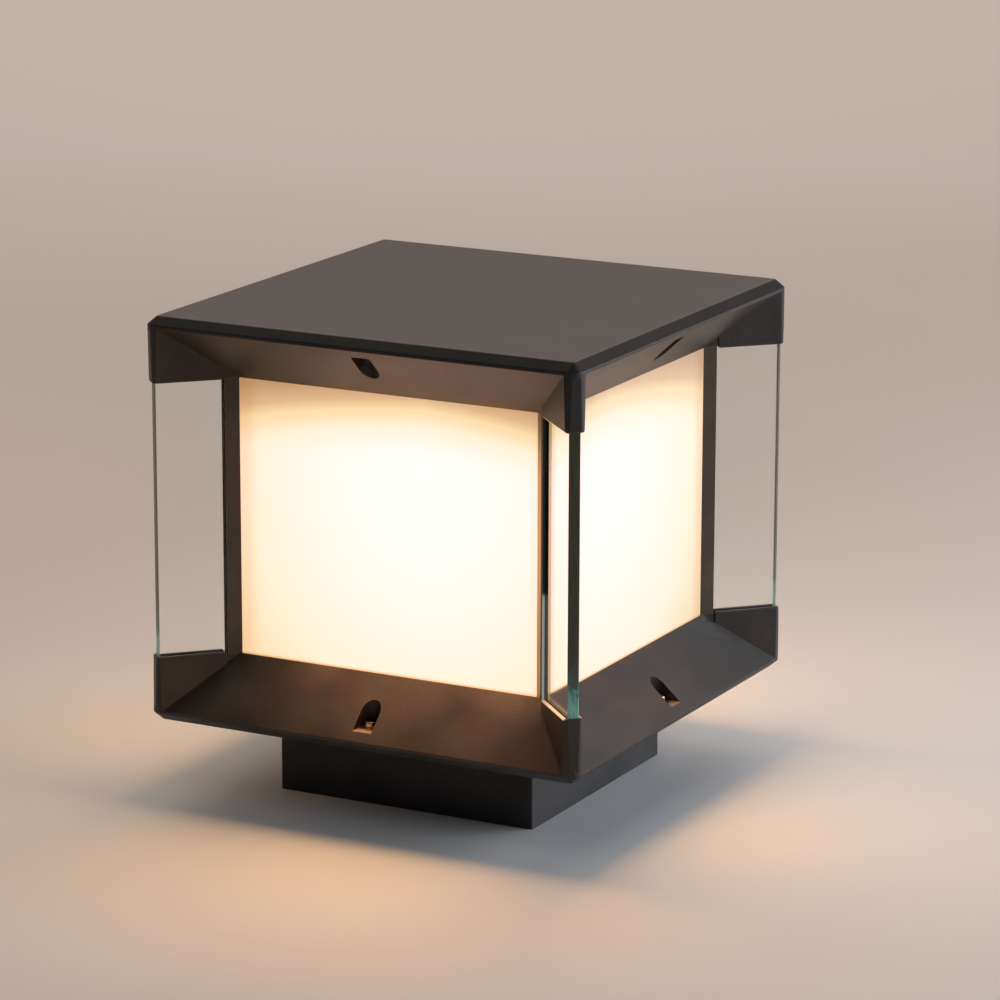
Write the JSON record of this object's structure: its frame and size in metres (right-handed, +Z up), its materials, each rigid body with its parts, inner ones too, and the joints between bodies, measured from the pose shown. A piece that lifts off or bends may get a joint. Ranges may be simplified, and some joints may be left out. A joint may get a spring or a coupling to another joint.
{
  "type": "outdoor post light",
  "caption": "Square pillar-top lamp: opal light box between two sloping cast frames, clear diagonal corner panes, lift-off lid and a narrow pedestal foot.",
  "frame": {"origin": "middle of the pedestal's underside", "axes": "+Z up out of the foot; -Y towards the front panel, +X towards the right panel"},
  "size_m": [0.25, 0.25, 0.26],
  "materials": {
    "black_cast": "fine textured powder coat on cast aluminium",
    "dark_profile": "smooth powder coat on extruded aluminium",
    "clear_glass": "clear float glass with ground green edges",
    "opal_panel": "opal acrylic, satin",
    "steel": "stainless",
    "seal_rubber": "closed cell seal",
    "white_sheet": "white enamel on sheet",
    "zinc_sheet": "zinc plated sheet",
    "porcelain": "glazed",
    "brass": "plain brass",
    "dark_nylon": "moulded nylon",
    "white_moulding": "moulded",
    "black_glaze": "glazed",
    "nickel_cap": "nickel plated",
    "bulb_housing": "satin white",
    "bulb_opal": "opal"
  },
  "bodies": {
    "foot": {"pedestal": "black_cast", "base_plate": "black_cast", "base_gasket": "seal_rubber", "plate_screws": "steel", "terminal_block": "white_moulding", "terminal_screws": "brass", "earth_screw": "brass"},
    "lamp": {"base_frame": "black_cast", "base_screws": "steel", "base_washers": "steel", "top_frame": "black_cast", "lid_screws": "steel", "lid_washers": "steel", "post_screws_lower": "steel", "post_screws_upper": "steel", "lamp_tray": "white_sheet", "tray_screws": "steel", "holder_bracket": "zinc_sheet", "bracket_screws": "steel", "lampholder": "porcelain", "holder_shell": "brass", "holder_contact": "brass", "gland_body": "dark_nylon", "gland_nut": "dark_nylon", "corner_post_1": "dark_profile", "corner_post_2": "dark_profile", "corner_post_3": "dark_profile", "corner_post_4": "dark_profile", "corner_glass_1": "clear_glass", "corner_glass_2": "clear_glass", "corner_glass_3": "clear_glass", "corner_glass_4": "clear_glass", "diffuser_front": "opal_panel", "diffuser_right": "opal_panel", "diffuser_back": "opal_panel", "diffuser_left": "opal_panel"},
    "lid": {"lid": "black_cast", "lid_gasket": "seal_rubber"},
    "bulb_core": {"bulb_contact": "brass", "bulb_insulator": "black_glaze"},
    "bulb": {"bulb_cap": "nickel_cap", "bulb_body": "bulb_housing", "bulb_globe": "bulb_opal"}
  },
  "joints": [
    {"name": "lamp_lift", "type": "slide", "parent": "foot", "child": "lamp", "axis": [0, 0, 1], "range_m": [0, 0.06]},
    {"name": "lid_lift", "type": "slide", "parent": "lamp", "child": "lid", "axis": [0, 0, 1], "range_m": [0, 0.12]},
    {"name": "bulb_rise", "type": "slide", "parent": "lamp", "child": "bulb_core", "axis": [0, 0, 1], "range_m": [0, 0.01089]},
    {"name": "bulb_turn", "type": "hinge", "parent": "bulb_core", "child": "bulb", "pos_m": [0, 0, 0.15], "axis": [0, 0, 1], "range_deg": [0, 1080]}
  ],
  "couplings": [
    {"joint": "bulb_rise", "follows": "bulb_turn", "m_per_rad": 0.00057773}
  ]
}
